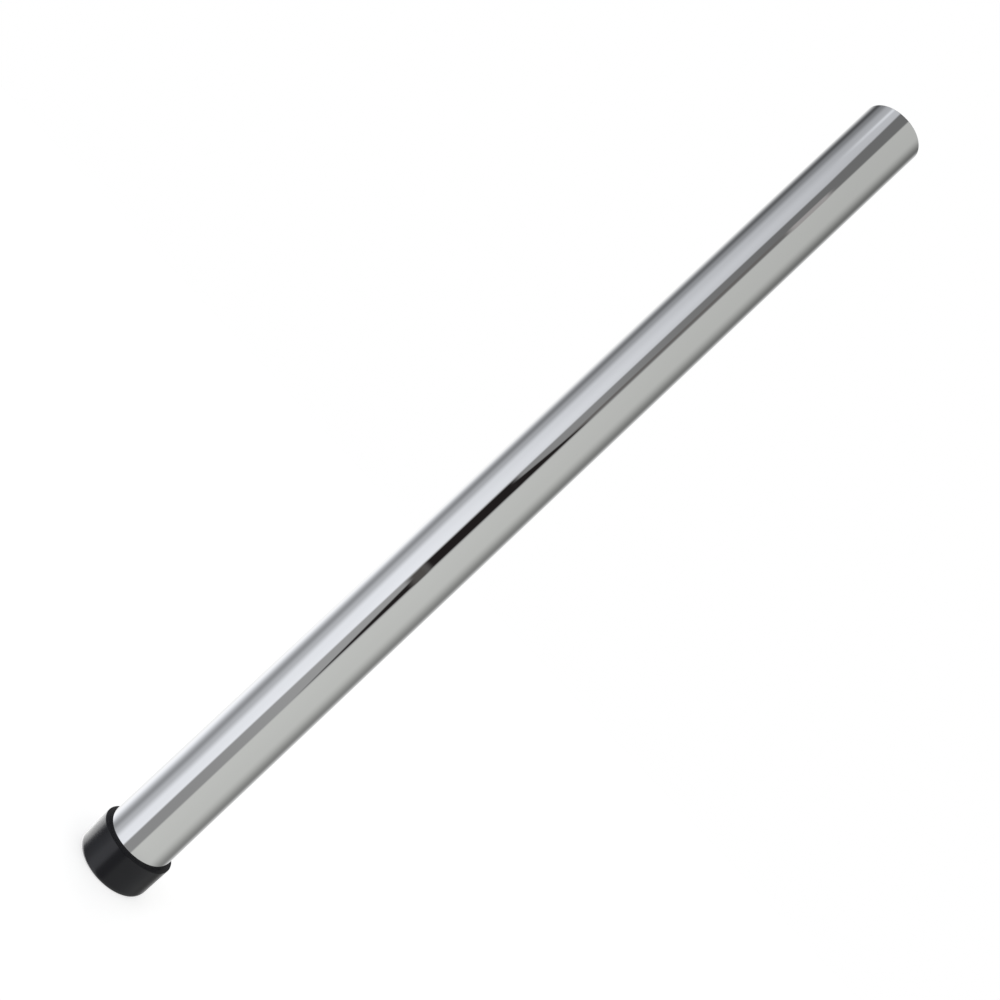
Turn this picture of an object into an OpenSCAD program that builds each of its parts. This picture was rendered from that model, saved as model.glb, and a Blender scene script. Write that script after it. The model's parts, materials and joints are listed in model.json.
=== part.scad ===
// Friction-fit extension wand: a slightly conical chromed tube with a moulded collar
// Millimetres. The wand stands on its collar: z = 0 is the collar's mouth, +Z runs
// along the tube's axis to the spigot.

/* [Wand] */
// Overall length, from the collar's mouth to the spigot's rim
wand_length = 500; // [250:5:900]

/* [Tube] */
// Outside diameter of the spigot, the narrow plain end
spigot_od = 32; // [25:0.5:50]
// Length of the spigot's straight, sized stretch
spigot_length = 20; // [10:1:40]
// Thickness of the tube's wall
wall = 1; // [0.7:0.1:1.6]
// Radius of the rounded edges of the spigot's rim
rim_round = 0.3; // [0.1:0.05:0.3]
// Gap all round a spigot that enters the socket
joint_gap = 0.1; // [0.05:0.05:0.3]

/* [Collar] */
// Length of the collar along the wand
collar_length = 16.5; // [12:0.5:30]
// How far the collar's back edge stands out from the tube
collar_proud = 2.25; // [1.5:0.25:5]
// How much the collar's outside draws in towards its mouth
collar_draft = 0.35; // [0:0.05:0.6]
// Thickness of the lip that covers the tube's cut edge
lip_thickness = 2; // [1:0.1:5]
// How far the lip's opening stands back from the socket's bore
lip_relief = 0.2; // [0.1:0.05:0.4]
// Radius of the lead-in round inside the lip
lead_in = 0.4; // [0.2:0.1:0.6]
// Width of the flat ring that the wand stands on
rest_land = 0.5; // [0.3:0.1:0.8]
// Length of the rounded nose, from the flat ring to the collar's side
nose_length = 2.8; // [1.5:0.1:5]
// Radius of the collar's back edge
back_round = 0.4; // [0.2:0.1:1]

/* [Hidden] */
$fn = 128;
// Steps in each rounded edge of an outline
arc_steps = 8;

// Tube radii: the socket takes another wand's spigot
spigot_r = spigot_od / 2;
socket_bore_r = spigot_r + joint_gap;
socket_r = socket_bore_r + wall;

// Tube heights: the socket's straight stretch lies under the collar
tube_start = lip_thickness;
cone_start = collar_length;
cone_end = wand_length - spigot_length;

// Collar radii, from the lip's opening outwards
lip_r = socket_bore_r + lip_relief;
land_inner_r = lip_r + lead_in;
land_outer_r = land_inner_r + rest_land;
collar_back_r = socket_r + collar_proud;
collar_mouth_r = collar_back_r - collar_draft;
nose_depth = collar_mouth_r - land_outer_r;

// Points of an elliptical arc with half-axes rx and ry, from one angle to another
function arc(centre, rx, ry, from, to) = [
    for (i = [0 : arc_steps])
        let (a = from + (to - from) * i / arc_steps)
            [centre[0] + rx * cos(a), centre[1] + ry * sin(a)]
];

// Half section of the tube, radius along x and height along y
function tube_outline() = concat(
    [
        [socket_bore_r, tube_start],
        [socket_r, tube_start],
        [socket_r, cone_start],
        [spigot_r, cone_end]
    ],
    arc([spigot_r - rim_round, wand_length - rim_round], rim_round, rim_round, 0, 90),
    arc([spigot_r - wall + rim_round, wand_length - rim_round], rim_round, rim_round, 90, 180),
    [
        [spigot_r - wall, cone_end],
        [socket_bore_r, cone_start]
    ]
);

// Half section of the collar: lip, lead-in, flat ring, nose, side and back edge
function collar_outline() = concat(
    [
        [socket_r, collar_length],
        [socket_r, lip_thickness],
        [lip_r, lip_thickness]
    ],
    arc([land_inner_r, lead_in], lead_in, lead_in, 180, 270),
    arc([land_outer_r, nose_length], nose_depth, nose_length, 270, 360),
    arc([collar_back_r - back_round, collar_length - back_round], back_round, back_round, 0, 90)
);

// Thin-walled steel tube with a straight socket, a long cone and a straight spigot
module tube() {
    color([0.78, 0.79, 0.80])
        rotate_extrude()
            polygon(tube_outline());
}

// Moulded ring pushed over the socket end, its lip against the tube's cut edge
module collar() {
    color([0.05, 0.05, 0.055])
        rotate_extrude()
            polygon(collar_outline());
}

tube();
collar();
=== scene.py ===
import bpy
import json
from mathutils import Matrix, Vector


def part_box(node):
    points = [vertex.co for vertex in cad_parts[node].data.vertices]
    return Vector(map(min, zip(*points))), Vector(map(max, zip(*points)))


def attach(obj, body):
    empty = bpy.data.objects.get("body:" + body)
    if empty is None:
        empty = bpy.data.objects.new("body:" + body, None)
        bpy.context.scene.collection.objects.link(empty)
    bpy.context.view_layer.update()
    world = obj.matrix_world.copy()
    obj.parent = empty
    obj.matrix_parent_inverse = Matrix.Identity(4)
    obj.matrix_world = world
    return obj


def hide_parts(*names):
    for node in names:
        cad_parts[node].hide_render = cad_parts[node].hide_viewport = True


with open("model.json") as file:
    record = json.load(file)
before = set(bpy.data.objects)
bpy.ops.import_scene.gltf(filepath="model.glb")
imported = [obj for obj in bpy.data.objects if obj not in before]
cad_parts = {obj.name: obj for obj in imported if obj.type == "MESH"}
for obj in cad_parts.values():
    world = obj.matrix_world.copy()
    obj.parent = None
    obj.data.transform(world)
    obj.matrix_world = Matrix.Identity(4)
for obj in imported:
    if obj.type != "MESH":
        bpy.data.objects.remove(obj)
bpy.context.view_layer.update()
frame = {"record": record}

import json
import math

import bmesh
import bpy
from mathutils import Matrix, Vector

MM = 0.001

# Sizes read from the frame

mounts = {mount["name"]: mount for mount in frame["record"]["mounts"]}
tube_low, tube_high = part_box("tube")
collar_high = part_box("collar")[1]

WAND_LENGTH = tube_high[2]
TUBE_START = tube_low[2]
SOCKET_R = tube_high[0]
SOCKET_BORE_R = mounts["socket"]["dims"]["r_mm"] * MM
SPIGOT_R = mounts["spigot"]["dims"]["r_mm"] * MM
SPIGOT_TOP = mounts["spigot"]["pos_m"][2] + mounts["spigot"]["dims"]["length_mm"] * MM / 2
CONE_END = SPIGOT_TOP - mounts["spigot"]["dims"]["length_mm"] * MM
WALL = SOCKET_R - SOCKET_BORE_R
RIM_ROUND = WAND_LENGTH - SPIGOT_TOP
COLLAR_LENGTH = collar_high[2]
COLLAR_BACK_R = collar_high[0]

# Collar details that the frame doesn't state

LIP_R = SOCKET_BORE_R + 0.2 * MM
LEAD_IN = 0.4 * MM
REST_LAND = 0.5 * MM
COLLAR_DRAFT = 0.35 * MM
NOSE_LENGTH = 2.8 * MM
BACK_ROUND = 0.4 * MM
LAND_INNER_R = LIP_R + LEAD_IN
LAND_OUTER_R = LAND_INNER_R + REST_LAND
NOSE_DEPTH = COLLAR_BACK_R - COLLAR_DRAFT - LAND_OUTER_R

# Mesh density

SEGMENTS = 288
ARC_STEPS = 10
HOLD = 0.06 * MM
SHARP_ANGLE = math.radians(35)

# The photograph's camera, in a frame of 1000 by 1000 pixels

FRAME_PX = 1000
FOCAL_PX = 943.5
CAMERA_DISTANCE = 440.0 * MM
CAMERA_HEIGHT = 218.46 * MM
CAMERA_PITCH = math.radians(3.01)
CAMERA_SIDE = -0.233 * MM
AXIS_SLOPE = math.radians(43.196)
SENSOR = 36.0


def arc(centre_r, centre_z, half_r, half_z, start, stop, steps=ARC_STEPS):
    """Points of an elliptical arc, from one angle in degrees to another."""
    angles = [math.radians(start + (stop - start) * i / steps) for i in range(steps + 1)]
    return [(centre_r + half_r * math.cos(a), centre_z + half_z * math.sin(a)) for a in angles]


def run(start, stop, steps=1):
    """Points strictly between two ends: one held close to each end, and even steps between."""
    a, b = Vector(start), Vector(stop)
    hold = HOLD / (b - a).length
    inner = [i / steps for i in range(1, steps)]
    return [tuple(a.lerp(b, f)) for f in [hold, *inner, 1 - hold]]


def joined(*parts):
    """Chains points and lists of points, and fills each straight stretch that a number asks for."""
    outline, pending = [], None
    for part in parts:
        if isinstance(part, int):
            pending = part
            continue
        points = part if isinstance(part, list) else [part]
        if pending is not None:
            outline += run(outline[-1], points[0], pending)
            pending = None
        outline += points
    if pending is not None:
        outline += run(outline[-1], outline[0], pending)
    return outline


def lathe(name, outline, materials, inside_from=None):
    """A closed outline of (radius, height) points turned round the Z axis."""
    mesh = bpy.data.meshes.new(name)
    bm = bmesh.new()
    rings = []
    for r, z in outline:
        turn = [2 * math.pi * i / SEGMENTS for i in range(SEGMENTS)]
        rings.append([bm.verts.new((r * math.cos(a), r * math.sin(a), z)) for a in turn])
    for i, ring in enumerate(rings):
        after = rings[(i + 1) % len(rings)]
        for j in range(SEGMENTS):
            k = (j + 1) % SEGMENTS
            face = bm.faces.new((ring[j], ring[k], after[k], after[j]))
            face.smooth = True
            face.material_index = int(inside_from is not None and i >= inside_from)
    bmesh.ops.recalc_face_normals(bm, faces=bm.faces)
    bm.to_mesh(mesh)
    bm.free()
    mesh.set_sharp_from_angle(angle=SHARP_ANGLE)
    for material in materials:
        mesh.materials.append(material)
    piece = bpy.data.objects.new(name, mesh)
    bpy.context.scene.collection.objects.link(piece)
    return piece


def tube_outline():
    """The tube's wall from the socket up to the spigot's rim, and then down its inside."""
    rim_z = WAND_LENGTH - RIM_ROUND
    outside = joined(
        (SOCKET_BORE_R, TUBE_START),
        (SOCKET_R, TUBE_START), 2,
        (SOCKET_R, COLLAR_LENGTH), 60,
        (SPIGOT_R, CONE_END), 6,
        arc(SPIGOT_R - RIM_ROUND, rim_z, RIM_ROUND, RIM_ROUND, 0, 90),
        arc(SPIGOT_R - WALL + RIM_ROUND, rim_z, RIM_ROUND, RIM_ROUND, 90, 180),
    )
    inside = joined(
        outside[-1], 6,
        (SPIGOT_R - WALL, CONE_END), 60,
        (SOCKET_BORE_R, COLLAR_LENGTH), 2,
        outside[0],
    )[1:-1]
    return outside + inside, len(outside) - 1


def collar_outline():
    """The collar's section: seat on the tube, lip, lead-in, flat ring, nose, side and back."""
    return joined(
        (SOCKET_R, COLLAR_LENGTH), 4,
        (SOCKET_R, TUBE_START),
        (LIP_R, TUBE_START), 2,
        arc(LAND_INNER_R, LEAD_IN, LEAD_IN, LEAD_IN, 180, 270),
        arc(LAND_OUTER_R, NOSE_LENGTH, NOSE_DEPTH, NOSE_LENGTH, 270, 360, 16), 8,
        arc(COLLAR_BACK_R - BACK_ROUND, COLLAR_LENGTH - BACK_ROUND, BACK_ROUND, BACK_ROUND, 0, 90), 2,
    )


class Nodes:
    """Adds shader nodes to one tree and joins them."""

    def __init__(self, tree):
        self.tree = tree
        tree.nodes.clear()

    def add(self, kind, **settings):
        node = self.tree.nodes.new(kind)
        for key, value in settings.items():
            setattr(node, key, value)
        return node

    def feed(self, socket, value):
        if isinstance(value, bpy.types.NodeSocket):
            self.tree.links.new(value, socket)
        else:
            socket.default_value = value

    def math(self, operation, a, b=0.0):
        node = self.add("ShaderNodeMath", operation=operation)
        self.feed(node.inputs[0], a)
        self.feed(node.inputs[1], b)
        return node.outputs[0]

    def step(self, value, low, high):
        """A smooth step from 0 at low to 1 at high."""
        node = self.add("ShaderNodeMapRange", interpolation_type="SMOOTHSTEP")
        self.feed(node.inputs["Value"], value)
        self.feed(node.inputs["From Min"], low)
        self.feed(node.inputs["From Max"], high)
        return node.outputs["Result"]

    def ramp(self, value, low, high, to_low, to_high):
        """A straight change from to_low to to_high while value goes from low to high."""
        node = self.add("ShaderNodeMapRange")
        for name, number in zip(
            ("Value", "From Min", "From Max", "To Min", "To Max"), (value, low, high, to_low, to_high)
        ):
            self.feed(node.inputs[name], number)
        return node.outputs["Result"]

    def mix(self, factor, a, b):
        node = self.add("ShaderNodeMix", data_type="RGBA")
        self.feed(node.inputs["Factor"], factor)
        self.feed(node.inputs[6], a)
        self.feed(node.inputs[7], b)
        return node.outputs[2]

    def multiply(self, a, b):
        node = self.add("ShaderNodeMix", data_type="RGBA", blend_type="MULTIPLY")
        node.inputs["Factor"].default_value = 1.0
        self.feed(node.inputs[6], a)
        self.feed(node.inputs[7], b)
        return node.outputs[2]

    def noise(self, vector, scale, detail=2.0, rough=0.5):
        node = self.add("ShaderNodeTexNoise")
        self.feed(node.inputs["Vector"], vector)
        self.feed(node.inputs["Scale"], scale)
        self.feed(node.inputs["Detail"], detail)
        self.feed(node.inputs["Roughness"], rough)
        return node.outputs["Fac"]

    def stretched(self, vector, x, y, z):
        node = self.add("ShaderNodeMapping")
        self.feed(node.inputs["Vector"], vector)
        node.inputs["Scale"].default_value = (x, y, z)
        return node.outputs["Vector"]

    def bump(self, height, strength, distance, normal=None):
        node = self.add("ShaderNodeBump")
        self.feed(node.inputs["Height"], height)
        self.feed(node.inputs["Strength"], strength)
        self.feed(node.inputs["Distance"], distance)
        if normal is not None:
            self.feed(node.inputs["Normal"], normal)
        return node.outputs["Normal"]


def new_material(name):
    material = bpy.data.materials.new(name)
    material.use_nodes = True
    nodes = Nodes(material.node_tree)
    shader = nodes.add("ShaderNodeBsdfPrincipled")
    output = nodes.add("ShaderNodeOutputMaterial")
    nodes.tree.links.new(shader.outputs[0], output.inputs[0])
    where = nodes.add("ShaderNodeTexCoord").outputs["Object"]
    return material, nodes, shader, where


def chrome_plate():
    """Bright chrome with faint lengthwise polishing marks."""
    material, nodes, shader, where = new_material("chrome_plate")
    along = nodes.stretched(where, 1.0, 1.0, 0.02)
    marks = nodes.noise(along, 1800.0, 2.0)
    cloud = nodes.noise(where, 60.0, 3.0)
    marked = nodes.ramp(marks, 0.35, 0.75, 0.01, 0.03)
    rough = nodes.math("ADD", marked, nodes.ramp(cloud, 0.4, 0.7, 0.0, 0.015))
    shader.inputs["Base Color"].default_value = (0.78, 0.785, 0.79, 1)
    shader.inputs["Metallic"].default_value = 1.0
    nodes.feed(shader.inputs["Roughness"], rough)
    waves = nodes.noise(nodes.stretched(where, 1.0, 1.0, 0.12), 90.0, 1.0)
    nodes.feed(shader.inputs["Normal"], nodes.bump(waves, 0.02, 0.002))
    return material


def bare_steel():
    """The unpolished inside of the tube, with drawing lines along it."""
    material, nodes, shader, where = new_material("bare_steel")
    lines = nodes.noise(nodes.stretched(where, 1.0, 1.0, 0.03), 700.0, 3.0)
    stain = nodes.noise(where, 45.0, 4.0, 0.6)
    tone = nodes.mix(nodes.ramp(stain, 0.35, 0.7, 0.0, 1.0), (0.36, 0.36, 0.37, 1), (0.5, 0.5, 0.51, 1))
    nodes.feed(shader.inputs["Base Color"], tone)
    shader.inputs["Metallic"].default_value = 1.0
    nodes.feed(shader.inputs["Roughness"], nodes.ramp(lines, 0.3, 0.7, 0.28, 0.42))
    nodes.feed(shader.inputs["Normal"], nodes.bump(lines, 0.25, 0.0001))
    return material


def black_moulding():
    """Satin blue-black plastic with a fine moulded grain, coarser and duller on the back face."""
    material, nodes, shader, where = new_material("black_moulding")
    grain = nodes.noise(where, 2600.0, 3.0, 0.6)
    cloud = nodes.noise(where, 130.0, 3.0)
    split = nodes.add("ShaderNodeSeparateXYZ")
    nodes.feed(split.inputs[0], nodes.add("ShaderNodeTexCoord").outputs["Normal"])
    back = nodes.step(split.outputs["Z"], 0.5, 0.95)
    clouded = nodes.ramp(cloud, 0.35, 0.7, 0.0, 1.0)
    tone = nodes.mix(clouded, (0.0014, 0.0017, 0.0060, 1), (0.0024, 0.0027, 0.0076, 1))
    nodes.feed(shader.inputs["Base Color"], tone)
    satin = nodes.ramp(cloud, 0.3, 0.7, 0.19, 0.25)
    rough = nodes.math("ADD", satin, nodes.math("MULTIPLY", back, 0.5))
    nodes.feed(shader.inputs["Roughness"], rough)
    shader.inputs["IOR"].default_value = 1.5
    nodes.feed(shader.inputs["Normal"], nodes.bump(grain, 0.15, 0.00005))
    return material


# The studio that the chrome mirrors, in degrees: azimuth 0 is -Y, towards the camera, and
# 90 is +X. Each stop is an azimuth, a light level low down and a light level high up.

STUDIO = [
    (-180, 0.98, 0.85),
    (-150, 1.15, 0.85),
    (-104, 0.34, 0.10),
    (-84, 0.55, 0.26),
    (-60, 0.97, 0.50),
    (-30, 1.01, 0.62),
    (12, 0.65, 0.56),
    (72, 0.63, 0.55),
    (128, 0.26, 0.18),
    (165, 0.76, 0.68),
    (180, 0.98, 0.85),
]
LOW_ELEVATION, HIGH_ELEVATION = -4, 31
LEAN_BELOW, LEAN_ABOVE = 0.8, 0.5
CEILING_FROM, CEILING_TO, CEILING_LEVEL = 40, 60, 0.3
LEFT_TINT = (0.982, 1.0, 1.045, 1)
RIGHT_TINT = (0.992, 1.0, 0.965, 1)

# The gap between the panels: its edges, and its level at four elevations

GAP_FROM, GAP_TO, GAP_SOFT = -21.0, 11.5, 7
GAP_LEVELS = [(-24, 0.31), (-9, 0.39), (8, 0.29), (27, 0.18)]
GAP_WIDENS = (29, 34, 7)
NOTCH = (1, 14, 26.0, 28.8)
NOTCH_COLOUR = (0.40, 0.38, 0.375, 1)
EDGE_LINE = (1, 8, 6, 26)
EDGE_LINE_COLOUR = (0.16, 0.15, 0.145, 1)

# A dark shape in the gap: each part runs from a slanted left edge to one right edge, and a
# grey break lies between the wide middle and the narrowing foot

DARK_RIGHT = 8.5
DARK_MIDDLE = (-2.9, 4.9, -18, -18)
DARK_TOP = (4.2, 10.6, -12, 8)
DARK_FOOT = (-13.5, -3.2, 9, -8)
DARK_COLOUR = (0.018, 0.015, 0.015, 1)
GREY_BREAK = (-17, 10, -4.1, -2.7)
GREY_BREAK_COLOUR = (0.095, 0.088, 0.083, 1)

# A narrow lamp high on the left, a broad one low behind on the left, and a shade low on the right

STRIP = (-59, -50, 31.5, 60)
STRIP_LEVEL = (0.84, 0.86, 0.90, 1)
LOW_LAMP = (-170, -108, -75, -25.5)
LOW_LAMP_LEVEL = (2.9, 2.9, 2.9, 1)
LOW_SHADE = (14, 112, -75, -25.5)
LOW_SHADE_LEVEL = (0.50, 0.505, 0.50, 1)


def window(nodes, value, low, high, soft):
    """1 between low and high, with soft edges."""
    rise = nodes.step(value, low - soft / 2, low + soft / 2)
    fall = nodes.step(value, high + soft / 2, high - soft / 2)
    return nodes.math("MULTIPLY", rise, fall)


def box(nodes, azimuth, elevation, limits, soft_azimuth, soft_elevation):
    """1 inside a box of azimuth and elevation, with soft edges."""
    across = window(nodes, azimuth, limits[0], limits[1], soft_azimuth)
    along = window(nodes, elevation, limits[2], limits[3], soft_elevation)
    return nodes.math("MULTIPLY", across, along)


def level_ramp(nodes, value, stops):
    """A grey level that eases from stop to stop of (value, level)."""
    low, high = stops[0][0], stops[-1][0]
    node = nodes.add("ShaderNodeValToRGB")
    nodes.feed(node.inputs[0], nodes.ramp(value, low, high, 0, 1))
    node.color_ramp.interpolation = "EASE"
    marks = node.color_ramp.elements
    marks[0].position, marks[1].position = 0, 1
    for place, _ in stops[1:-1]:
        marks.new((place - low) / (high - low))
    for mark, (_, level) in zip(marks, stops):
        mark.color = (level, level, level, 1)
    return node.outputs["Color"]


def slanted(nodes, azimuth, elevation, limits, right, soft_azimuth, soft_elevation):
    """1 between a left edge that moves with elevation and a fixed right edge."""
    low, high, left_low, left_high = limits
    past_left = nodes.math("SUBTRACT", azimuth, nodes.ramp(elevation, low, high, left_low, left_high))
    mask = nodes.step(past_left, -soft_azimuth / 2, soft_azimuth / 2)
    before_right = nodes.step(azimuth, right + soft_azimuth / 2, right - soft_azimuth / 2)
    mask = nodes.math("MULTIPLY", mask, before_right)
    return nodes.math("MULTIPLY", mask, window(nodes, elevation, low, high, soft_elevation))


def studio_world():
    """White to the camera; to everything else, a white sweep with panels and a gap round the wand."""
    world = bpy.data.worlds.new("studio")
    world.use_nodes = True
    bpy.context.scene.world = world
    nodes = Nodes(world.node_tree)
    direction = nodes.add("ShaderNodeTexCoord").outputs["Generated"]
    split = nodes.add("ShaderNodeSeparateXYZ")
    nodes.feed(split.inputs[0], direction)
    x, y, z = split.outputs
    to_degrees = 180 / math.pi
    azimuth = nodes.math("MULTIPLY", nodes.math("ARCTAN2", x, nodes.math("MULTIPLY", y, -1.0)), to_degrees)
    elevation = nodes.math("MULTIPLY", nodes.math("ARCSINE", z), to_degrees)

    on_left = nodes.math("LESS_THAN", azimuth, 0.0)
    below = nodes.ramp(elevation, -20, 0, -20 * LEAN_BELOW, 0)
    above = nodes.ramp(elevation, 0, 30, 0, 30 * LEAN_ABOVE)
    lean = nodes.math("MULTIPLY", nodes.math("ADD", below, above), on_left)
    leaned = nodes.math("ADD", azimuth, lean)
    low_levels = level_ramp(nodes, leaned, [(place, low) for place, low, _ in STUDIO])
    high_levels = level_ramp(nodes, leaned, [(place, high) for place, _, high in STUDIO])
    colour = nodes.mix(nodes.ramp(elevation, LOW_ELEVATION, HIGH_ELEVATION, 0, 1), low_levels, high_levels)
    tint = nodes.mix(on_left, RIGHT_TINT, LEFT_TINT)
    behind = nodes.step(nodes.math("ABSOLUTE", azimuth), 110, 160)
    colour = nodes.multiply(colour, nodes.mix(behind, tint, (1, 1, 1, 1)))
    colour = nodes.mix(box(nodes, azimuth, elevation, LOW_SHADE, 20, 2), colour, LOW_SHADE_LEVEL)

    widen_from, widen_to, widening = GAP_WIDENS
    shifted = nodes.math("ADD", azimuth, nodes.ramp(elevation, widen_from, widen_to, 0, widening))
    past_left = nodes.step(shifted, GAP_FROM - GAP_SOFT / 2, GAP_FROM + GAP_SOFT / 2)
    before_right = nodes.step(azimuth, GAP_TO + GAP_SOFT / 2, GAP_TO - GAP_SOFT / 2)
    in_gap = nodes.math("MULTIPLY", past_left, before_right)
    colour = nodes.mix(in_gap, colour, level_ramp(nodes, elevation, GAP_LEVELS))
    colour = nodes.mix(box(nodes, azimuth, elevation, EDGE_LINE, 5, 4), colour, EDGE_LINE_COLOUR)
    colour = nodes.mix(box(nodes, azimuth, elevation, NOTCH, 5, 0.8), colour, NOTCH_COLOUR)
    for limits in (DARK_FOOT, DARK_TOP, DARK_MIDDLE):
        dark = slanted(nodes, azimuth, elevation, limits, DARK_RIGHT, 5, 1.2)
        colour = nodes.mix(dark, colour, DARK_COLOUR)
    colour = nodes.mix(box(nodes, azimuth, elevation, GREY_BREAK, 6, 0.8), colour, GREY_BREAK_COLOUR)

    colour = nodes.mix(nodes.step(elevation, CEILING_FROM, CEILING_TO), colour, (*[CEILING_LEVEL] * 3, 1))
    colour = nodes.mix(box(nodes, azimuth, elevation, STRIP, 9, 4), colour, STRIP_LEVEL)
    colour = nodes.mix(box(nodes, azimuth, elevation, LOW_LAMP, 12, 2), colour, LOW_LAMP_LEVEL)

    seen = nodes.add("ShaderNodeLightPath").outputs["Is Camera Ray"]
    background = nodes.add("ShaderNodeBackground")
    nodes.feed(background.inputs["Color"], nodes.mix(seen, colour, (1, 1, 1, 1)))
    output = nodes.add("ShaderNodeOutputWorld")
    nodes.tree.links.new(background.outputs[0], output.inputs[0])


def floor():
    """A plain white floor under the collar."""
    size = 6.0
    mesh = bpy.data.meshes.new("floor")
    corners = [(-size, -size, 0), (size, -size, 0), (size, size, 0), (-size, size, 0)]
    mesh.from_pydata(corners, [], [(0, 1, 2, 3)])
    plane = bpy.data.objects.new("floor", mesh)
    bpy.context.scene.collection.objects.link(plane)
    material = bpy.data.materials.new("floor")
    material.use_nodes = True
    nodes = Nodes(material.node_tree)
    diffuse = nodes.add("ShaderNodeBsdfDiffuse")
    diffuse.inputs["Color"].default_value = (0.9, 0.9, 0.9, 1)
    glow = nodes.add("ShaderNodeEmission")
    seen = nodes.add("ShaderNodeLightPath").outputs["Is Camera Ray"]
    nodes.feed(glow.inputs["Strength"], nodes.math("MULTIPLY", seen, 0.68))
    both = nodes.add("ShaderNodeAddShader")
    nodes.tree.links.new(diffuse.outputs[0], both.inputs[0])
    nodes.tree.links.new(glow.outputs[0], both.inputs[1])
    output = nodes.add("ShaderNodeOutputMaterial")
    nodes.tree.links.new(both.outputs[0], output.inputs[0])
    mesh.materials.append(material)
    plane.visible_glossy = False


def camera():
    """The photograph's view: level with the wand's middle and rolled so that the wand runs diagonally."""
    data = bpy.data.cameras.new("camera")
    data.sensor_width = SENSOR
    data.lens = SENSOR * FOCAL_PX / FRAME_PX
    data.clip_start, data.clip_end = 0.01, 50.0
    cam = bpy.data.objects.new("camera", data)
    bpy.context.scene.collection.objects.link(cam)
    forward = Vector((0, math.cos(CAMERA_PITCH), math.sin(CAMERA_PITCH)))
    along = Vector((0, -math.sin(CAMERA_PITCH), math.cos(CAMERA_PITCH)))
    across = Vector((1, 0, 0))
    right = along * math.cos(AXIS_SLOPE) + across * math.sin(AXIS_SLOPE)
    up = along * math.sin(AXIS_SLOPE) - across * math.cos(AXIS_SLOPE)
    turn = Matrix((right, up, -forward)).transposed()
    cam.matrix_world = Matrix.Translation((CAMERA_SIDE, -CAMERA_DISTANCE, CAMERA_HEIGHT)) @ turn.to_4x4()
    bpy.context.scene.camera = cam


camera()
studio_world()
floor()

chrome, steel, moulding = chrome_plate(), bare_steel(), black_moulding()

tube_points, inside_from = tube_outline()
wand_tube = lathe("wand_tube", tube_points, [chrome, steel], inside_from)
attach(wand_tube, "root")
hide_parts("tube")

wand_collar = lathe("wand_collar", collar_outline(), [moulding])
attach(wand_collar, "root")
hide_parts("collar")

bpy.context.scene.view_settings.view_transform = "Standard"
